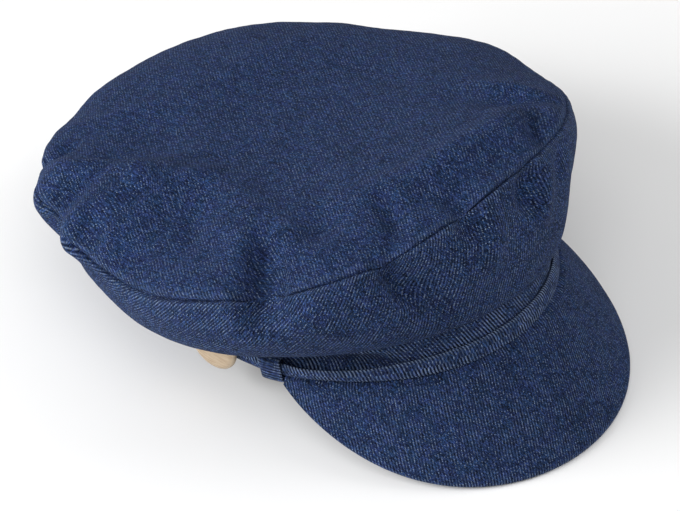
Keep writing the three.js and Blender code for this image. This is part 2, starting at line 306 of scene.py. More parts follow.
class CapCloth(PropertyGroup):
    """The denim and how it lies."""

    end_pitch: FloatProperty(
        name="End Pitch", description="Distance between two threads along the cloth, in mm",
        default=0.42, min=0.2, max=1.5)
    pick_pitch: FloatProperty(
        name="Pick Pitch", description="Distance between two threads across the cloth, in mm",
        default=0.6, min=0.3, max=2)
    deep: FloatVectorProperty(
        name="Deep Indigo", description="Darkest colour of the dyed threads",
        subtype="COLOR", default=(0.0065, 0.0135, 0.0412), min=0, max=1)
    clear: FloatVectorProperty(
        name="Clear Indigo", description="Lightest colour of the dyed threads",
        subtype="COLOR", default=(0.022, 0.0465, 0.1355), min=0, max=1)
    pale: FloatVectorProperty(
        name="Pale Thread", description="Colour of the undyed threads between",
        subtype="COLOR", default=(0.22, 0.29, 0.42), min=0, max=1)
    wrinkle: FloatProperty(
        name="Wrinkle Height", description="Height of the soft unevenness of the cloth, in mm",
        default=0.55, min=0, max=2)
    seam_depth: FloatProperty(
        name="Seam Depth", description="How far both panels dip into the crown seam, in mm",
        default=1.0, min=0, max=3)
    pucker: FloatProperty(
        name="Pucker Height", description="Height of the small puckers along the crown seam, in mm",
        default=0.25, min=0, max=1)
    columns: IntProperty(
        name="Columns", description="Columns of the crown's grids, all the way round",
        default=560, min=80, max=600)


class CapButton(PropertyGroup):
    """The wood of the buttons."""

    light: FloatVectorProperty(
        name="Light Wood", description="Colour of the wood between the grain lines",
        subtype="COLOR", default=(0.44, 0.34, 0.235), min=0, max=1)
    grain: FloatVectorProperty(
        name="Grain", description="Colour of the grain lines",
        subtype="COLOR", default=(0.3, 0.21, 0.125), min=0, max=1)


class CapStage(PropertyGroup):
    """Floor, light and camera."""

    floor: FloatVectorProperty(
        name="Floor", description="Colour of the floor",
        subtype="COLOR", default=(0.93, 0.93, 0.93), min=0, max=1)
    surround: FloatProperty(
        name="Surround", description="Brightness of the white surroundings",
        default=0.41, min=0, max=5)
    key_power: FloatProperty(
        name="Key Power", description="Power of the large light at the left",
        default=45, min=0, max=500, unit="POWER")
    turn: FloatProperty(
        name="Camera Turn", description="Angle of the camera round the cap from the front",
        default=math.radians(-45.25), subtype="ANGLE")
    lift: FloatProperty(
        name="Camera Lift", description="Angle of the camera above the table",
        default=math.radians(42.21), subtype="ANGLE")
    roll: FloatProperty(
        name="Camera Roll", description="Turn of the camera about its own line of sight",
        default=math.radians(-1.46), subtype="ANGLE")
    distance: FloatProperty(
        name="Camera Distance", description="From the camera to the middle of its view",
        default=1.14237, subtype="DISTANCE")
    lens: FloatProperty(
        name="Focal Length", description="Focal length on a 36 mm wide sensor, in mm",
        default=128.76, min=20, max=400)


def outward(angle):
    """Level unit vector at an angle: x is its sine, y is minus its cosine."""
    turn = np.radians(angle)
    return np.stack([np.sin(turn), -np.cos(turn), np.zeros_like(turn)], axis=-1)


def upright(z):
    """Vertical vector of the given lengths."""
    z = np.asarray(z, float)
    return np.stack([np.zeros_like(z), np.zeros_like(z), z], axis=-1)


def on_band(angle, out, z):
    """Point on the band's outer face, an ellipse, moved out by a distance and up to z."""
    angle, out, z = np.broadcast_arrays(*(np.asarray(a, float) for a in (angle, out, z)))
    flat = outward(angle)
    return np.stack([
        (BAND_HALF_WIDTH + out) * flat[..., 0],
        (BAND_HALF_LENGTH + out) * flat[..., 1],
        z,
    ], axis=-1)


def cubic(a, b, c, d, t):
    """Cubic from b to c at the share t of the way, whose slopes also take in a and d."""
    return b + 0.5 * t * (c - a + t * (2 * a - 5 * b + 4 * c - d + t * (3 * (b - c) + d - a)))


def section_value(column, angle):
    """A column of the section table at any angle: a closed cubic through its rows."""
    count = len(CROWN_SECTIONS)
    place = (np.asarray(angle, float) + 180) / 360 * count
    row = np.floor(place).astype(int)
    rows = (CROWN_SECTIONS[(row + k) % count, column] for k in (-1, 0, 1, 2))
    return cubic(*rows, place - row)


def unit(vectors):
    """Each vector divided by its length."""
    return vectors / np.linalg.norm(vectors, axis=-1, keepdims=True)


def bell(x, reach):
    """Bell curve: e to the power of minus the square of x over its reach."""
    return np.exp(-(x / reach) ** 2)


def spread(rows, columns):
    """The row value and the column value of each point of a grid."""
    return np.meshgrid(rows, columns, indexing="ij")


def smooth_crown(angle, down):
    """The crown without folds. Down runs from 0 at the middle to 1 at the seam and 2 at the band.

    The top panel's radius grows evenly with down, and its height is a dome of the sixth power
    that meets the seam. The side panel is a cubic curve from the seam out and down to the band."""
    angle, down = np.broadcast_arrays(np.asarray(angle, float), np.asarray(down, float))
    seam_r = section_value(SEAM_R, angle)
    seam_z = section_value(SEAM_Z, angle)
    middle = np.array([0, CROWN_CENTRE_Y, 0.0])
    flat = outward(angle)
    dome_z = (MEAN_SEAM_Z + (seam_z - MEAN_SEAM_Z) * down ** 2
              + CROWN_RISE * (1 - down ** CROWN_ROUNDNESS))
    top = flat * (seam_r * down)[..., None] + middle + upright(dome_z)
    t = np.clip(down - 1, 0, 1)[..., None]
    seam = flat * seam_r[..., None] + middle + upright(seam_z)
    end = on_band(angle, SIDE_END_OUT, BAND_TOP + SIDE_END_LIFT)
    puff = flat * section_value(PUFF, angle)[..., None]
    under = seam + puff - upright(np.full_like(seam_r, SIDE_START))
    belly = end + (seam - end) * BELLY_REACH
    belly[..., 2] = end[..., 2] - section_value(SAG, angle)
    side = ((1 - t) ** 3 * seam + 3 * (1 - t) ** 2 * t * under
            + 3 * (1 - t) * t ** 2 * belly + t ** 3 * end)
    return np.where((down <= 1)[..., None], top, side)


def fold_height(angle, down):
    """Sum of the folds, each a squared cosine across times a squared cosine along."""
    height = np.zeros(np.broadcast(angle, down).shape)
    for at, wide, mid, long, rise in CROWN_FOLDS:
        across = np.abs((angle - at + 180) % 360 - 180) / wide
        along = np.abs(down - mid) / long
        hump = np.cos(np.pi / 2 * across) ** 2 * np.cos(np.pi / 2 * along) ** 2
        height += np.where((across < 1) & (along < 1), rise * hump, 0)
    return height


def surface_normal(surface, angle, down, step):
    """Outward unit normal: the cross product of small steps across and along."""
    ahead, behind = np.minimum(down + step, 2), np.maximum(down - step, 0.001)
    along = surface(angle, ahead) - surface(angle, behind)
    across = surface(angle + NORMAL_TURN, down) - surface(angle - NORMAL_TURN, down)
    return unit(-np.cross(across, along))


def crown_point(angle, down):
    """The crown with its folds, each fold raised along the smooth crown's normal."""
    normal = surface_normal(smooth_crown, angle, np.maximum(down, 0.02), 0.04)
    return smooth_crown(angle, down) + normal * fold_height(angle, down)[..., None]


def rested(points):
    """Tips the cap back onto the table, in metres. Nothing goes below the table."""
    tip = math.radians(REST_TIP)
    y = points[..., 1] * math.cos(tip) + points[..., 2] * math.sin(tip) + CENTRE_SHIFT_Y
    z = points[..., 2] * math.cos(tip) - points[..., 1] * math.sin(tip) + REST_LIFT
    return np.stack([points[..., 0] + CENTRE_SHIFT_X, y, np.maximum(z, 0)], axis=-1) / 1000


def cloth_noise(points, size, seed):
    """Smooth random height from -1 to 1 that changes over about size mm.

    Random values stand at the corners of a cubic lattice and are blended by smoothstep."""
    table = np.random.default_rng(seed).uniform(-1, 1, (64, 64, 64))
    place = points / np.asarray(size, float) + 1000.5
    cell = np.floor(place).astype(int)
    t = place - cell
    t = t * t * (3 - 2 * t)
    height = np.zeros(points.shape[:-1])
    for corner in np.ndindex(2, 2, 2):
        near = np.where(np.array(corner) == 1, t, 1 - t).prod(axis=-1)
        spot = (cell + corner) % 64
        height += near * table[spot[..., 0], spot[..., 1], spot[..., 2]]
    return height


def swelling(points, *layers):
    """Sum of layers of cloth noise, each given as height, size in mm and seed."""
    return sum(height * cloth_noise(points, size, seed) for height, size, seed in layers)


def crease_height(points, normal):
    """Sum of the creases: each is a ridge or dent of bell-shaped section along a line of short
    straight runs, and fades as the sine of the way along it. The side that a point lies on is
    the sign of the triple product of the run, the way from it and the cloth's normal."""
    height = np.zeros(points.shape[:-1])
    for left, right, rise, line in CROWN_CREASES:
        angle, down = np.array(line, float).T
        knots = crown_point(angle, down)
        way = np.append(0, np.cumsum(np.linalg.norm(np.diff(knots, axis=0), axis=1)))
        way /= way[-1]
        nearest = np.full(points.shape[:-1], np.inf)
        place = np.zeros(points.shape[:-1])
        wide = np.full(points.shape[:-1], float(left))
        for a, b, start, end in zip(knots[:-1], knots[1:], way[:-1], way[1:]):
            run = b - a
            t = np.clip((points - a) @ run / (run @ run), 0, 1)
            apart = points - a - t[..., None] * run
            away = np.linalg.norm(apart, axis=-1)
            closer = away < nearest
            place = np.where(closer, start + t * (end - start), place)
            side = (np.cross(run, apart) * normal).sum(axis=-1)
            wide = np.where(closer, np.where(side > 0, left, right), wide)
            nearest = np.minimum(away, nearest)
        height += rise * np.sin(np.pi * place) ** 0.8 * bell(nearest, wide)
    return height


def crown_cloth(angle, down, seam_mm):
    """The crown's outer face with its wrinkles, creases, puckers and the dip into the seam.

    seam_mm is each point's distance from the seam along the cloth. The dip is a bell-shaped
    trough along the mean of the two panels' normals, with a low roll of the cloth beside it.
    The second result is the normal, which leans to that mean near the seam."""
    cloth = bpy.context.scene.cap_cloth
    base = crown_point(angle, down)
    normal = surface_normal(crown_point, angle, np.maximum(down, NORMAL_STEP), NORMAL_STEP)
    seam_normal = unit(sum(
        surface_normal(crown_point, angle, np.full_like(down, beside), NORMAL_STEP)
        for beside in (0.96, 1.04)))
    height = cloth.wrinkle * swelling(base, *WRINKLES) + crease_height(base, normal)
    arc = np.stack([
        angle * SEAM_PER_DEGREE, np.zeros_like(angle),
        np.where(down > 1, SIDE_PUCKER_SHIFT, 0.0)], axis=-1)
    height += cloth.pucker * bell(seam_mm, PUCKER_REACH) * swelling(arc, *PUCKERS)
    height += np.where(down > 1, ROLL_SIDE, ROLL_TOP) * bell(seam_mm - ROLL_AT, ROLL_REACH)
    pinch = 1 + PINCH_SWING * cloth_noise(arc * [1, 1, 0], PINCH_SIZE, 10)
    pinch = np.clip(pinch, *PINCH_RANGE)
    dip = -cloth.seam_depth * pinch * (
        bell(seam_mm, DIP_REACH) + WIDE_DIP_SHARE * bell(seam_mm, WIDE_DIP_REACH))
    lean = bell(seam_mm, LEAN_REACH)[..., None]
    mixed = unit(normal * (1 - lean) + seam_normal * lean)
    return base + normal * height[..., None] + seam_normal * dip[..., None], mixed


def numbered(shape):
    """A grid of point numbers, row by row."""
    return np.arange(shape[0] * shape[1]).reshape(shape)


def wrapped(ids):
    """A grid with its first column again after its last one."""
    return np.concatenate([ids, ids[:, :1]], axis=1)


def grid_faces(ids, flip=False):
    """Four corner numbers of each face of a grid."""
    corners = np.stack([ids[:-1, :-1], ids[1:, :-1], ids[1:, 1:], ids[:-1, 1:]], axis=-1)
    corners = corners.reshape(-1, 4)
    return corners[:, ::-1] if flip else corners


def make_piece(node, finish, patches, material):
    """One closed mesh of several grids that share points, named for its node and finish.

    A patch is a grid of point numbers, a matching grid of cloth coordinates and whether its
    faces are turned. Corners that meet at a pole make three-cornered faces. The whole mesh is
    turned if its volume comes out negative."""
    points, wear, grids = patches
    quads, coords = [], []
    for ids, uv, flip in grids:
        quads.append(grid_faces(ids, flip))
        coords.append(uv.reshape(-1, 2)[grid_faces(numbered(ids.shape), flip)])
    quads, coords = np.concatenate(quads), np.concatenate(coords)
    a, b, c, d = points[quads].transpose(1, 0, 2)
    if (a * (np.cross(b, c) + np.cross(c, d))).sum() < 0:
        quads, coords = quads[:, ::-1], coords[:, ::-1]
    keep = quads != np.roll(quads, -1, axis=1)
    whole = keep.all(axis=1)
    corner = keep.sum(axis=1) == 3
    threes = quads[corner][keep[corner]].reshape(-1, 3)
    flat = np.concatenate([coords[whole].reshape(-1, 2), coords[corner][keep[corner]]])
    mesh = bpy.data.meshes.new(node + finish)
    mesh.from_pydata(points.tolist(), [], quads[whole].tolist() + threes.tolist())
    layer = mesh.uv_layers.new(name="cloth")
    layer.data.foreach_set("uv", flat.astype(np.float32).ravel())
    worn = mesh.attributes.new("wear", "FLOAT", "POINT")
    worn.data.foreach_set("value", wear.astype(np.float32))
    mesh.shade_smooth()
    mesh.materials.append(material)
    piece = bpy.data.objects.new(node + finish, mesh)
    bpy.context.scene.collection.objects.link(piece)
    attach(piece, "root")
    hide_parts(node)


def wall_patches(outer, inner, uv_outer, uv_inner, wear, loop=True, pole=False):
    """Patches of a cloth wall: its outer face, its inner face and the rims between them.

    outer and inner are grids with the same columns, and an open wall's have the same rows. In a
    loop, the coordinates' last column is the first one again. With a pole, the first row of each
    is one point."""
    points = np.concatenate([outer.reshape(-1, 3), inner.reshape(-1, 3)])
    wear = np.append(wear, np.zeros(inner.size // 3))
    ids_out = numbered(outer.shape[:2])
    ids_in = numbered(inner.shape[:2]) + ids_out.size
    edges = [(np.s_[-1], True)]
    if pole:
        ids_out[0] = ids_out[0, 0]
        ids_in[0] = ids_in[0, 0]
    else:
        edges.append((np.s_[0], False))
    if loop:
        ids_out, ids_in = wrapped(ids_out), wrapped(ids_in)
    else:
        edges += [(np.s_[:, 0], True), (np.s_[:, -1], False)]
    grids = [(ids_out, uv_outer, False), (ids_in, uv_inner, True)]
    for edge, flip in edges:
        ids = np.stack([ids_in[edge], ids_out[edge]])
        grids.append((ids, np.stack([uv_inner[edge], uv_outer[edge]]), flip))
    used = np.unique(np.concatenate([g[0].ravel() for g in grids]))
    renumber = np.zeros(len(points), int)
    renumber[used] = np.arange(len(used))
    return points[used], wear[used], [(renumber[g[0]], g[1], g[2]) for g in grids]


def loop_patches(rings, uv, wear):
    """Patches of a closed tube: rings of points along it, with a point at the middle of each end.

    rings has a row for each ring, and its last column isn't repeated."""
    count, around = rings.shape[:2]
    points = np.concatenate([rings.reshape(-1, 3), rings[[0, -1]].mean(axis=1)])
    first = np.full((1, around + 1), count * around)
    ids = np.concatenate([first, wrapped(numbered((count, around))), first + 1])
    middle = uv.mean(axis=1, keepdims=True).repeat(around + 1, axis=1)
    uv = np.concatenate([middle[:1], uv, middle[-1:]])
    return points, np.append(wear, [0.0, 0.0]), [(ids, uv, False)]


class Shader:
    """Adds nodes to one material and wires them, a call for each node."""

    def __init__(self, name):
        self.material = bpy.data.materials.new(name)
        self.material.use_nodes = True
        self.tree = self.material.node_tree
        self.tree.nodes.clear()

    def node(self, kind, inputs=None, **settings):
        count = len(self.tree.nodes)
        made = self.tree.nodes.new("ShaderNode" + kind)
        made.location = (220 * (count // 6), -230 * (count % 6))
        for key, value in settings.items():
            setattr(made, key, value)
        for key, value in (inputs or {}).items():
            self.feed(made.inputs[key], value)
        return made

    def feed(self, socket, value):
        if isinstance(value, bpy.types.NodeSocket):
            self.tree.links.new(value, socket)
        else:
            socket.default_value = value

    def math(self, operation, *values, kind="Math", **settings):
        made = self.node(kind, operation=operation, **settings)
        for socket, value in zip(made.inputs, values):
            self.feed(socket, value)
        return made.outputs[0]

    def vector(self, operation, *values):
        return self.math(operation, *values, kind="VectorMath")

    def times(self, value, *factors):
        for factor in factors:
            value = self.math("MULTIPLY", value, factor)
        return value

    def noise(self, vector, scale, detail=2.0, roughness=0.5, output="Fac"):
        return self.node("TexNoise", {
            "Vector": vector, "Scale": scale, "Detail": detail, "Roughness": roughness,
        }).outputs[output]

    def ramp(self, value, low, high, to_low=0.0, to_high=1.0):
        return self.node("MapRange", {
            "Value": value, "From Min": low, "From Max": high, "To Min": to_low, "To Max": to_high,
        }, interpolation_type="SMOOTHSTEP").outputs[0]

    def blend(self, factor, a, b, kind="MIX"):
        made = self.node("Mix", data_type="RGBA", blend_type=kind)
        sockets = [s for s in made.inputs if s.enabled and s.type == "RGBA"]
        self.feed(made.inputs[0], factor)
        self.feed(sockets[0], a)
        self.feed(sockets[1], b)
        return next(s for s in made.outputs if s.enabled and s.type == "RGBA")

    def grey(self, level):
        inputs = {"Red": level, "Green": level, "Blue": level}
        return self.node("CombineColor", inputs).outputs[0]

    def cell(self, x, y):
        """Random value and colour of each cell of a grid."""
        place = self.node("CombineXYZ", {"X": x, "Y": y}).outputs[0]
        return self.node("TexWhiteNoise", {"Vector": place}, noise_dimensions="2D").outputs

    def on_cloth(self, turn, scale):
        """Cloth coordinates turned and enlarged."""
        uv = self.node("UVMap", uv_map="cloth").outputs[0]
        return self.node("Mapping", {
            "Vector": uv, "Rotation": (0, 0, turn), "Scale": (scale, scale, scale)}).outputs[0]

    def strayed(self, place, by, reach):
        """A place moved by a colour, up to a reach."""
        return self.vector("ADD", place, self.vector("MULTIPLY", by, (reach, reach, reach)))

    def wear(self):
        worn = self.node("Attribute", attribute_name="wear", attribute_type="GEOMETRY")
        return worn.outputs["Fac"]

    def finish(self, inputs):
        surface = self.node("BsdfPrincipled", inputs).outputs[0]
        self.node("OutputMaterial", {"Surface": surface})
        return self.material


def colour(value):
    return (*value, 1.0)


def denim(name):
    """Three-and-one twill in thread coordinates, in mm, across and along the dyed threads.

    Dyed thread i runs over three cross threads and under the fourth, and the next one is a cross
    thread further on, so the runs and the pale threads between them lie on slanting lines. A
    thread's height is half a sine across it and half a sine along each run. Each run has a random
    shade of its own and so does each crossing, and noise moves the threads about and changes the
    dye, the number of pale flecks, the clearness of the lines and the colour of broad patches."""
    twill_angle, depth, contrast, wear_gain, rib, coarse = DENIMS[name]
    cloth = bpy.context.scene.cap_cloth
    s = Shader(name)
    slant = math.degrees(math.atan2(cloth.pick_pitch, cloth.end_pitch))
    turned = s.on_cloth(math.radians(slant - twill_angle), 1000 / coarse)
    place = turned
    for size, detail, reach in ((0.11, 2.0, 0.9), (0.7, 1.0, 0.14)):
        noise = s.noise(turned, size, detail, output="Color")
        place = s.strayed(place, s.vector("SUBTRACT", noise, (0.5, 0.5, 0.5)), reach)
    split = s.node("SeparateXYZ", {"Vector": place})
    end = s.math("DIVIDE", split.outputs[0], cloth.end_pitch)
    pick = s.math("DIVIDE", split.outputs[1], cloth.pick_pitch)
    end_row = s.math("FLOOR", end)
    pick_row = s.math("FLOOR", pick)
    across_pick = s.math("FRACT", pick)
    shift = s.math("SUBTRACT", end_row, pick_row)
    step = s.math("FLOORED_MODULO", shift, 4.0)
    run_row = s.math("FLOOR", s.math("DIVIDE", shift, 4.0))
    pale_over = s.math("COMPARE", step, 0.0, 0.5)
    run = s.math("DIVIDE", s.math("ADD", s.math("SUBTRACT", 3.0, step), across_pick), 3.0)
    round_end, round_pick, round_run = (
        s.math("SINE", s.times(part, math.pi)) for part in (s.math("FRACT", end), across_pick, run))
    arch = s.math("POWER", s.math("MAXIMUM", round_run, 0.0), 0.5)
    pale_height = s.times(round_pick, 0.8)
    height = s.node("Mix", {
        "Factor": pale_over, "A": s.times(round_end, arch), "B": pale_height}).outputs[0]

    run_shade = s.cell(end_row, run_row)["Value"]
    crossing = s.cell(end_row, pick_row)
    pale_shade = crossing["Value"]
    grain = s.node("SeparateColor", {"Color": crossing["Color"]}).outputs["Green"]
    slub = s.noise(s.vector("MULTIPLY", place, (1.9, 0.16, 1.0)), 1.0, 3.0, 0.6)
    dye = s.times(s.math("POWER", run_shade, 1.8), 0.9)
    dye = s.math("ADD", dye, s.ramp(slub, 0.35, 0.7, 0.0, 0.4))
    dyed = s.blend(dye, colour(cloth.deep), colour(cloth.clear))
    line = s.math("COSINE", s.times(s.math("SUBTRACT", end, pick), math.pi / 2))
    fade = s.ramp(s.noise(turned, 0.09), 0.4, 0.62, 0.2, 1.0)
    twill = s.math("ADD", s.times(s.ramp(line, -1.0, 1.0, -depth, depth), fade), 1.0)
    soft = s.ramp(s.noise(place, 2.2, 1.0), 0.3, 0.7, 1 - 0.25 * contrast, 1 + 0.25 * contrast)
    speck = s.times(soft, s.ramp(grain, 0.0, 1.0, 1 - 0.4 * contrast, 1 + 0.4 * contrast))
    cluster = s.noise(place, 0.5, 3.0, 0.7)
    shown = s.times(
        pale_over, s.ramp(pale_height, 0.1, 0.6),
        s.ramp(pale_shade, 0.4, 1.0, 0.0, 0.75 * contrast), s.ramp(cluster, 0.35, 0.68, 0.35, 0.9))
    fuzz = s.ramp(s.noise(place, 1.7, 2.0, 0.8), 0.64, 0.84, 0.0, 0.3 * contrast)
    shown = s.math("MAXIMUM", shown, fuzz)
    crest = s.times(s.ramp(line, 0.0, 0.9), s.ramp(pale_shade, 0.0, 1.0, 0.4 * rib, rib), fade)
    shown = s.math("MAXIMUM", shown, crest, use_clamp=True)

    patch = s.ramp(s.noise(turned, 0.045, 3.0, 0.6), 0.3, 0.7, 0.9, 1.1)
    cast = s.ramp(s.noise(turned, 0.16, 3.0, 0.6), 0.35, 0.65)
    tint = s.blend(cast, (0.9, 1.05, 1.0, 1), (1.1, 0.95, 1.06, 1))
    # The ramp of the thread height paints shade: the colour is darker in the low places between the
    # threads and a little lighter on their tops. It is multiplied with the random broad tone, the
    # twill lines and the grain.
    level = s.times(patch, s.ramp(height, 0.0, 0.9, 0.6, 1.1), twill, speck)
    shaded = s.blend(1.0, dyed, s.grey(level), "MULTIPLY")
    tinted = s.blend(1.0, shaded, tint, "MULTIPLY")
    flecked = s.blend(shown, tinted, colour(cloth.pale))
    torn = s.ramp(cluster, 0.3, 0.6, 0.25, 0.7 * wear_gain)
    rubbed = s.math("MULTIPLY", s.wear(), torn, use_clamp=True)
    rubbed = s.times(rubbed, s.ramp(line, -0.6, 1.0))
    finished = s.blend(rubbed, flecked, colour(cloth.pale))

    bump = s.node("Bump", {"Strength": 0.8, "Distance": 0.00024, "Height": height})
    nap = s.node("Bump", {
        "Strength": 0.4, "Distance": 0.00008, "Height": s.noise(place, 5.0, 2.0, 0.6),
        "Normal": bump.outputs[0]})
    return s.finish({
        "Base Color": finished,
        "Roughness": s.ramp(height, 0.0, 1.0, 0.97, 0.86),
        "Normal": nap.outputs[0],
        "Specular IOR Level": 0.08,
        "Sheen Weight": 0.03,
        "Sheen Roughness": 0.5,
        "Sheen Tint": (0.5, 0.6, 1.0, 1)})


def pale_wood(name):
    """Straight wood grain along the button's width: stretched noise in bands, with fine pores."""
    button = bpy.context.scene.cap_button
    s = Shader(name)
    turned = s.on_cloth(0.35, 1000)
    bow = s.noise(s.vector("MULTIPLY", turned, (0.05, 0.12, 1)), 1.0, output="Color")
    place = s.strayed(turned, bow, 5.0)
    rings = s.noise(s.vector("MULTIPLY", place, (0.09, 1.1, 1.0)), 1.0, 4.0, 0.6)
    pores = s.noise(s.vector("MULTIPLY", place, (0.7, 6.0, 1.0)), 1.0)
    grain = s.times(s.ramp(rings, 0.42, 0.66), 0.7)
    dark = s.math("MAXIMUM", grain, s.ramp(pores, 0.62, 0.75, 0.0, 0.45))
    wood = s.blend(dark, colour(button.light), colour(button.grain))
    wood = s.blend(s.times(s.wear(), 0.3), wood, (0.56, 0.48, 0.37, 1))
    bump = s.node("Bump", {"Strength": 0.35, "Distance": 0.0001, "Height": pores})
    return s.finish({
        "Base Color": wood,
        "Roughness": s.ramp(rings, 0.3, 0.7, 0.48, 0.62),
        "Normal": bump.outputs[0],
        "Specular IOR Level": 0.4,
        "Coat Weight": 0.12,
        "Coat Roughness": 0.3})


def closed(values):
    """The angles with the first one again at the end, a whole turn on."""
    return np.append(values, values[0] + 360)


def crown_panel(node, rows, inner_rows, seam_mm, cut, per_down, pole, material):
    """A panel of the crown: both faces of its cloth, at rows of down, and its rims.

    seam_mm and cut are functions of angle and down: the distance from the crown seam along the
    cloth and the place on the flat panel, in mm. per_down is the length of cloth for one step
    of down, and sets the worn line beside the seam."""
    count = bpy.context.scene.cap_cloth.columns
    angles = -180 + 360 * np.arange(count) / count

    def face(rows):
        down, angle = spread(rows, angles)
        return crown_cloth(angle, down, seam_mm(angle, down))

    def flat(rows):
        down, angle = spread(rows, closed(angles))
        return cut(angle, down) / 1000

    outer, _ = face(rows)
    under, normal = face(inner_rows)
    inner = under - normal * CLOTH_WALL
    down, _ = spread(rows, angles)
    wear = WORN_SHARE * bell(np.abs(down - 1) * per_down - WORN_AT, WORN_REACH)
    patches = wall_patches(
        rested(outer), rested(inner), flat(rows), flat(inner_rows), wear, pole=pole)
    make_piece(node, "_cloth", patches, material)


class CAP_OT_top_panel(Operator):
    """Makes the round top panel of the crown"""

    bl_idname = "cap.top_panel"
    bl_label = "Top Panel"
    bl_options = {"REGISTER", "UNDO"}

    def execute(self, context):
        rim = 1 - SEAM_GAP / SEAM_RADIUS
        rows = np.concatenate([
            [0.0], np.linspace(0.02, 0.76, 52), np.linspace(0.772, 0.96, 21),
            np.linspace(0.9645, 0.984, 6), np.linspace(0.9857, rim, 9)])
        inner_rows = np.concatenate([[0.0], np.linspace(0.06, 0.95, 18), [0.97, 0.985, rim]])

        def seam_mm(angle, down):
            return (1 - down) * section_value(SEAM_R, angle) * TOP_BOW

        def cut(angle, down):
            reach = down * section_value(SEAM_R, angle) * (1 + 0.04 * down ** 5)
            return outward(angle)[..., :2] * reach[..., None]

        crown_panel("top_panel", rows, inner_rows, seam_mm, cut, SEAM_RADIUS, True,
                    denim("crown_top_denim"))
        return {"FINISHED"}


class CAP_OT_side_panel(Operator):
    """Makes the full side panel between the crown seam and the head band"""

    bl_idname = "cap.side_panel"
    bl_label = "Side Panel"
    bl_options = {"REGISTER", "UNDO"}

    def execute(self, context):
        start = 1 + SEAM_GAP / (3 * SIDE_START)
        rows = np.concatenate([
            np.linspace(start, 1.022, 9), np.linspace(1.027, 1.06, 6),
            np.linspace(1.07, 1.94, 64), np.linspace(1.95, 2, 6)])
        inner_rows = np.concatenate([
            [start, 1.02, 1.045, 1.075], np.linspace(1.11, 1.96, 18), [2.0]])

        def seam_mm(angle, down):
            return (down - 1) * SIDE_LENGTH

        def cut(angle, down):
            radius = SIDE_CUT_RADIUS - (down - 1) * SIDE_CUT_WIDTH
            turn = np.radians(angle * SIDE_CUT_TURN)
            return np.stack([radius * np.sin(turn), radius * np.cos(turn)], axis=-1)

        crown_panel("side_panel", rows, inner_rows, seam_mm, cut, SIDE_LENGTH, False,
                    denim("crown_side_denim"))
        return {"FINISHED"}


class CAP_OT_head_band(Operator):
    """Makes the head band under the crown"""

    bl_idname = "cap.head_band"
    bl_label = "Head Band"
    bl_options = {"REGISTER", "UNDO"}

    def execute(self, context):
        angles = -180 + np.arange(360)
        rise = np.linspace(BAND_BOTTOM + 1.2, BAND_TOP - 0.4, BAND_ROWS)
        hem = np.radians(np.linspace(0, 180, 11)[1:-1])
        out = np.concatenate([
            [-BAND_EDGE], np.zeros(BAND_ROWS), BAND_WALL / 2 * (np.cos(hem) - 1),
            np.full(BAND_INNER_ROWS, -BAND_WALL), [BAND_EDGE - BAND_WALL]])
        z = np.concatenate([
            [BAND_TOP], rise[::-1], BAND_BOTTOM + BAND_HEM - BAND_HEM * np.sin(hem),
            np.linspace(rise[0], rise[-1], BAND_INNER_ROWS), [BAND_TOP]])
        profile_out, angle = spread(out, angles)
        profile_z, _ = spread(z, angles)
        base = on_band(angle, profile_out, profile_z)
        swell = swelling(base, (0.22, 16, 21), (0.12, 7, 22))
        lift = np.clip((profile_z - 2) / 6, 0, 1)
        recess = BAND_RECESS * np.exp(-((angle - BAND_RECESS_AT) / BAND_RECESS_SPAN) ** 4)
        recess = recess * np.clip(
            1 - ((profile_z - BAND_RECESS_Z) / BAND_RECESS_HEIGHT) ** 2, 0, 1)
        points = base + outward(angle) * (swell * lift - recess)[..., None]
        run = np.append(0, np.cumsum(np.hypot(np.diff(out), np.diff(z))))
        around = np.radians(closed(angles)) * (BAND_HALF_WIDTH + BAND_HALF_LENGTH) / 2
        uv = np.stack(spread(-run, around)[::-1], axis=-1) / 1000
        uv = np.concatenate([uv, uv[-1:] - [0, (BAND_WALL - 2 * BAND_EDGE) / 1000]])
        ids = wrapped(numbered(base.shape[:2]))
        ids = np.concatenate([ids, ids[:1]])
        wear = 0.5 * bell(profile_z - BAND_BOTTOM, 0.8)
        patches = (rested(points).reshape(-1, 3), wear.ravel(), [(ids, uv, False)])
        make_piece("head_band", "_cloth", patches, denim("head_band_denim"))
        return {"FINISHED"}


def peak_surface(side, reach):
    """The peak's middle face: side from -1 to 1 along the root, reach from 0 to 1 to the edge.

    The width is a power of a cosine along the root. Each line across drops at a steep angle from
    the band and bows up a little between its ends."""
    side, reach = np.broadcast_arrays(np.asarray(side, float), np.asarray(reach, float))
    angle = side * PEAK_SPREAD
    root = on_band(angle, PEAK_ROOT_OUT, PEAK_ROOT_Z)
    splay = unit(outward(angle) * [PEAK_SPLAY, 1, 1])
    width = PEAK_REACH * np.cos(np.pi / 2 * side) ** PEAK_ROUNDNESS
    drop = np.radians(PEAK_DROP + PEAK_END_DROP * side ** 2)
    line = splay * (width * np.cos(drop))[..., None] - upright(width * np.sin(drop))
    bow = PEAK_CAMBER * 4 * reach * (1 - reach) * width / PEAK_REACH
    lift = splay * np.sin(drop)[..., None] + upright(np.cos(drop))
    return root + line * reach[..., None] + lift * bow[..., None]


def peak_normal(side, reach):
    """Upward unit normal of the peak's middle face, from small steps."""
    along = peak_surface(side + 0.004, reach) - peak_surface(side - 0.004, reach)
    out = peak_surface(side, reach + 0.01) - peak_surface(side, reach - 0.01)
    return unit(np.cross(out, along))


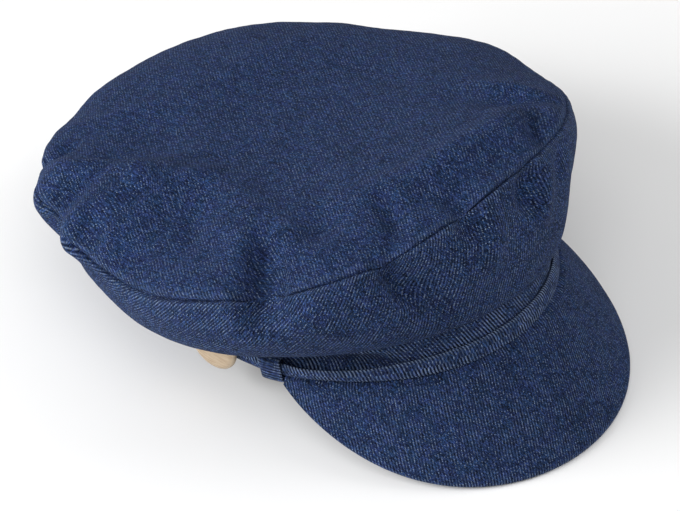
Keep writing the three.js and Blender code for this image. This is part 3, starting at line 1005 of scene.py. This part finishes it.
def peak_cut(sides, reaches):
    """The peak's cloth laid flat, in metres.

    Each line across keeps its length and its angle with the line before it, and each short run
    of the root between two lines keeps its length and its angle with them."""
    root = peak_surface(sides, 0)
    line = peak_surface(sides, 1) - root
    width = np.linalg.norm(line, axis=1)
    line /= width[:, None]
    run = np.diff(root, axis=0)
    length = np.linalg.norm(run, axis=1)
    lean = np.arccos((run * line[1:]).sum(axis=1) / length)
    bend = np.arccos(np.minimum((line[1:] * line[:-1]).sum(axis=1), 1))
    turn = np.append(0, np.cumsum(bend))
    turn = np.degrees(turn - turn[PEAK_COLUMNS // 2])
    run = outward(turn[1:] + np.degrees(lean)) * length[:, None]
    flat = np.concatenate([np.zeros((1, 3)), np.cumsum(run, axis=0)])
    flat -= flat[PEAK_COLUMNS // 2]
    flat = flat + outward(turn) * (width * reaches)[..., None]
    return flat[..., :2] / 1000


class CAP_OT_peak(Operator):
    """Makes the cloth-covered peak"""

    bl_idname = "cap.peak"
    bl_label = "Peak"
    bl_options = {"REGISTER", "UNDO"}

    def execute(self, context):
        step = np.radians(PEAK_BUNCHING * np.linspace(-1, 1, PEAK_COLUMNS))
        sides = PEAK_CUT * np.sin(step) / math.sin(math.radians(PEAK_BUNCHING))
        edge = np.radians(np.linspace(0, 88, 9)[1:])
        rows = np.append(np.linspace(PEAK_START, PEAK_EDGE, PEAK_ROWS),
                         PEAK_EDGE + PEAK_EDGE_ROUND * np.sin(edge))
        half = np.append(np.ones(PEAK_ROWS), np.cos(edge))[:, None]
        reach, side = spread(rows, sides)
        middle = peak_surface(side, reach)
        normal = peak_normal(side, reach)

        def face(sign, seat_z, seed):
            swell = swelling(middle, (0.16, 17, seed), (0.07, 6, seed + 1))
            rolled = 0.22 * bell((reach - 0.93) * PEAK_REACH, 2.2)
            thick = PEAK_THICKNESS / 2 * half + (swell + rolled) * half ** 2
            grid = middle + normal * (sign * thick)[..., None]
            seat = on_band(sides * PEAK_SPREAD, PEAK_SEAT_OUT, seat_z)
            steps = seat + (grid[0] - seat) * PEAK_SEAT_STEPS[:, None, None]
            return rested(np.concatenate([steps, grid]))

        reaches = np.append(PEAK_SEAT_REACHES, rows)[:, None]
        flat = peak_cut(sides, reaches)
        wear = np.clip((reaches - PEAK_EDGE) / 0.03, 0, 1) * np.ones(PEAK_COLUMNS) * 0.5
        top, bottom = face(1, PEAK_SEAT_TOP, 31), face(-1, PEAK_SEAT_BOTTOM, 41)
        patches = wall_patches(top, bottom, flat, flat, wear, loop=False)
        make_piece("peak", "_cloth", patches, denim("peak_denim"))
        return {"FINISHED"}


def rounded_ring(squareness):
    """Closed ring of points round a rounded oblong of half width and half height 1."""
    turn = 2 * np.pi * np.arange(RING) / RING
    c, s = np.cos(turn), np.sin(turn)
    return np.sign(c) * np.abs(c) ** squareness, np.sign(s) * np.abs(s) ** squareness


class CAP_OT_strap(Operator):
    """Makes the cloth strap over the peak"""

    bl_idname = "cap.strap"
    bl_label = "Strap"
    bl_options = {"REGISTER", "UNDO"}

    def execute(self, context):
        tips = STRAP_END - np.array([0, 0.15, 0.45])
        rounding = np.array([0.45, 0.75, 0.93])
        angles = np.concatenate([
            -tips, np.linspace(1 - STRAP_END, STRAP_END - 1, STRAP_COLUMNS), tips[::-1]])
        shrink = np.concatenate([rounding, np.ones(STRAP_COLUMNS), rounding[::-1]])[:, None]
        angle = angles[:, None]
        across, rise = rounded_ring(0.55)
        low, high, gap_low, gap_high = (
            np.interp(np.abs(angle), STRAP_ROWS[:, 0], STRAP_ROWS[:, k]) for k in range(1, 5))
        base = on_band(angle, 3, 4)
        low = low + swelling(base, (0.25, 19, 51))
        high = high + swelling(base, (0.3, 15, 53))
        share = 0.5 + 0.5 * rise * shrink
        z = low + (high - low) * share
        gap = gap_low + (gap_high - gap_low) * share
        belly = 0.35 * (1 - rise ** 2)
        half = STRAP_THICKNESS / 2
        out = gap + half + (half + belly) * across * shrink
        out += swelling(base, (0.12, 13, 52)) * (across > 0)
        girth = np.linspace(0, STRAP_GIRTH, RING + 1)
        uv = np.stack(spread(np.radians(angles) * STRAP_RADIUS, girth), axis=-1) / 1000
        wear = np.abs(rise) ** 6 * (across > -0.3) * np.ones_like(angle)
        patches = loop_patches(rested(on_band(angle, out, z)), uv, wear)
        make_piece("strap", "_cloth", patches, denim("strap_denim"))
        return {"FINISHED"}


def smooth_path(rows, count):
    """Smooth curve of count points through the rows, a cubic between each two."""
    rows = np.asarray(rows, float)
    padded = np.concatenate([2 * rows[:1] - rows[1:2], rows, 2 * rows[-1:] - rows[-2:-1]])
    place = np.linspace(0, len(rows) - 1, count)
    row = np.minimum(place.astype(int), len(rows) - 2)
    return cubic(*(padded[row + k] for k in range(4)), (place - row)[:, None])


class CAP_OT_keepers(Operator):
    """Makes the cloth loops that hold the strap"""

    bl_idname = "cap.keepers"
    bl_label = "Keepers"
    bl_options = {"REGISTER", "UNDO"}

    def execute(self, context):
        material = denim("keeper_denim")
        path = smooth_path(KEEPER_PATH, KEEPER_COLUMNS)
        along = unit(np.gradient(path, axis=0))
        lift = np.stack([-along[:, 1], along[:, 0]], axis=1)
        wide, thick = rounded_ring(0.5)
        offset = thick * KEEPER_THICKNESS / 2
        out = path[:, :1] + lift[:, :1] * offset
        z = path[:, 1:] + lift[:, 1:] * offset
        length = np.append(0, np.cumsum(np.linalg.norm(np.diff(path, axis=0), axis=1)))
        girth = np.linspace(0, KEEPER_GIRTH, RING + 1)
        uv = np.stack(spread(-length, girth)[::-1], axis=-1) / 1000
        wear = np.abs(wide) ** 8 * np.ones((KEEPER_COLUMNS, 1))
        for name, sign in (("keeper_right", -1), ("keeper_left", 1)):
            rings = on_band(sign * KEEPER_AT + wide * KEEPER_HALF_SPAN, out, z)
            make_piece(name, "_cloth", loop_patches(rested(rings), uv, wear), material)
        return {"FINISHED"}


class CAP_OT_buttons(Operator):
    """Makes the two plain wooden buttons at the strap's ends"""

    bl_idname = "cap.buttons"
    bl_label = "Buttons"
    bl_options = {"REGISTER", "UNDO"}

    def execute(self, context):
        material = pale_wood("button_wood")
        front = smooth_path(BUTTON_FRONT, BUTTON_ROWS)
        rear = smooth_path(BUTTON_REAR, BUTTON_ROWS)
        around = np.linspace(-np.pi, np.pi, BUTTON_COLUMNS + 1)
        turn = around[:-1]
        wear = bell(front[:, :1] - 0.95, 0.04) * np.ones(BUTTON_COLUMNS)
        for name, sign in (("button_right", -1), ("button_left", 1)):
            centre = on_band(sign * BUTTON_AT, BUTTON_BACK, BUTTON_Z)
            tangent = unit(
                on_band(sign * BUTTON_AT + 1, 0, 0) - on_band(sign * BUTTON_AT - 1, 0, 0))
            turned = sign * math.radians(BUTTON_TURN)
            tangent = tangent * math.cos(turned) + np.cross(tangent, [0, 0, 1]) * math.sin(turned)
            out = np.cross(tangent, [0, 0, 1])

            def face(profile):
                reach = profile[:, :1] * BUTTON_RADIUS
                level = tangent * (reach * np.cos(turn))[..., None] + upright(reach * np.sin(turn))
                return rested(centre + level + out * profile[:, 1, None, None])

            def grain(profile):
                reach = profile[:, :1] * BUTTON_RADIUS
                return np.stack([reach * np.cos(around), reach * np.sin(around)], axis=-1) / 1000

            patches = wall_patches(
                face(front), face(rear), grain(front), grain(rear), wear, pole=True)
            make_piece(name, "_wood", patches, material)
        return {"FINISHED"}


class CAP_OT_stage(Operator):
    """Sets the pale floor, the soft light and the camera"""

    bl_idname = "cap.stage"
    bl_label = "Stage"
    bl_options = {"REGISTER", "UNDO"}

    def execute(self, context):
        stage = context.scene.cap_stage
        grid = np.linspace(-FLOOR_HALF_SIZE, FLOOR_HALF_SIZE, 9)
        y, x = spread(grid, grid)
        points = np.stack([x, y, np.full_like(x, FLOOR_Z)], axis=-1).reshape(-1, 3)
        mesh = bpy.data.meshes.new("floor")
        mesh.from_pydata(points.tolist(), [], grid_faces(numbered(x.shape), True).tolist())
        s = Shader("floor_paper")
        place = s.node("TexCoord").outputs["Object"]
        tone = s.ramp(s.noise(place, 6.0, 3.0), 0.3, 0.7, 0.985, 1.0)
        paper = s.blend(1.0, colour(stage.floor), s.grey(tone), "MULTIPLY")
        mesh.materials.append(s.finish({
            "Base Color": paper, "Roughness": 0.9, "Specular IOR Level": 0.1}))
        floor = bpy.data.objects.new("floor", mesh)
        context.scene.collection.objects.link(floor)

        world = bpy.data.worlds.new("white_surroundings")
        world.use_nodes = True
        background = world.node_tree.nodes["Background"]
        background.inputs[0].default_value = (1, 1, 1, 1)
        background.inputs[1].default_value = stage.surround
        context.scene.world = world
        sin_a, cos_a = math.sin(stage.turn), math.cos(stage.turn)
        sin_e, cos_e = math.sin(stage.lift), math.cos(stage.lift)
        back = Vector((sin_a * cos_e, -cos_a * cos_e, sin_e))
        right = Vector((cos_a, sin_a, 0))
        away = Vector((-sin_a, cos_a, 0))
        up = back.cross(right)
        for name, around, rise, size, power in STAGE_LIGHTS:
            light = bpy.data.lights.new(name, "AREA")
            light.shape = "SQUARE"
            light.size = size
            light.energy = stage.key_power * power
            lamp = bpy.data.objects.new(name, light)
            turn, lift = math.radians(around), math.radians(rise)
            level = right * math.cos(turn) + away * math.sin(turn)
            toward = level * math.cos(lift) + Vector((0, 0, math.sin(lift)))
            lamp.location = STAGE_MIDDLE + toward * LIGHT_DISTANCE
            lamp.rotation_mode = "QUATERNION"
            lamp.rotation_quaternion = (STAGE_MIDDLE - lamp.location).to_track_quat("-Z", "Y")
            context.scene.collection.objects.link(lamp)

        aim = right * AIM_RIGHT + up * AIM_UP + AIM_POINT
        sin_r, cos_r = math.sin(stage.roll), math.cos(stage.roll)
        level = right * cos_r + up * sin_r
        upright_axis = up * cos_r - right * sin_r
        data = bpy.data.cameras.new("photo_camera")
        data.lens = stage.lens
        data.sensor_width = 36
        data.clip_start, data.clip_end = 0.05, 50
        camera = bpy.data.objects.new("photo_camera", data)
        turned = Matrix((level, upright_axis, back)).transposed().to_4x4()
        camera.matrix_world = Matrix.Translation(aim + back * stage.distance) @ turned
        context.scene.collection.objects.link(camera)
        context.scene.camera = camera
        context.scene.view_settings.view_transform = "Standard"
        return {"FINISHED"}


class CAP_PT_pieces(Panel):
    """Lists the cap's pieces, its sizes and its colours."""

    bl_idname = "CAP_PT_pieces"
    bl_label = "Baker Boy Cap"
    bl_space_type = "VIEW_3D"
    bl_region_type = "UI"
    bl_category = "Cap"

    def draw(self, context):
        layout = self.layout
        for group in (context.scene.cap_cloth, context.scene.cap_button, context.scene.cap_stage):
            box = layout.box()
            for name in group.__annotations__:
                box.prop(group, name)
        for operator in PIECE_OPERATORS:
            layout.operator(operator.bl_idname)


PIECE_OPERATORS = (
    CAP_OT_stage,
    CAP_OT_top_panel,
    CAP_OT_side_panel,
    CAP_OT_head_band,
    CAP_OT_peak,
    CAP_OT_strap,
    CAP_OT_keepers,
    CAP_OT_buttons,
)
CLASSES = (CapCloth, CapButton, CapStage, *PIECE_OPERATORS, CAP_PT_pieces)


def register():
    for item in CLASSES:
        bpy.utils.register_class(item)
    bpy.types.Scene.cap_cloth = PointerProperty(type=CapCloth)
    bpy.types.Scene.cap_button = PointerProperty(type=CapButton)
    bpy.types.Scene.cap_stage = PointerProperty(type=CapStage)


def unregister():
    del bpy.types.Scene.cap_stage
    del bpy.types.Scene.cap_button
    del bpy.types.Scene.cap_cloth
    for item in reversed(CLASSES):
        bpy.utils.unregister_class(item)


def main():
    register()
    bpy.ops.cap.stage()
    bpy.ops.cap.top_panel()
    bpy.ops.cap.side_panel()
    bpy.ops.cap.head_band()
    bpy.ops.cap.peak()
    bpy.ops.cap.strap()
    bpy.ops.cap.keepers()
    bpy.ops.cap.buttons()


if __name__ == "__main__":
    main()
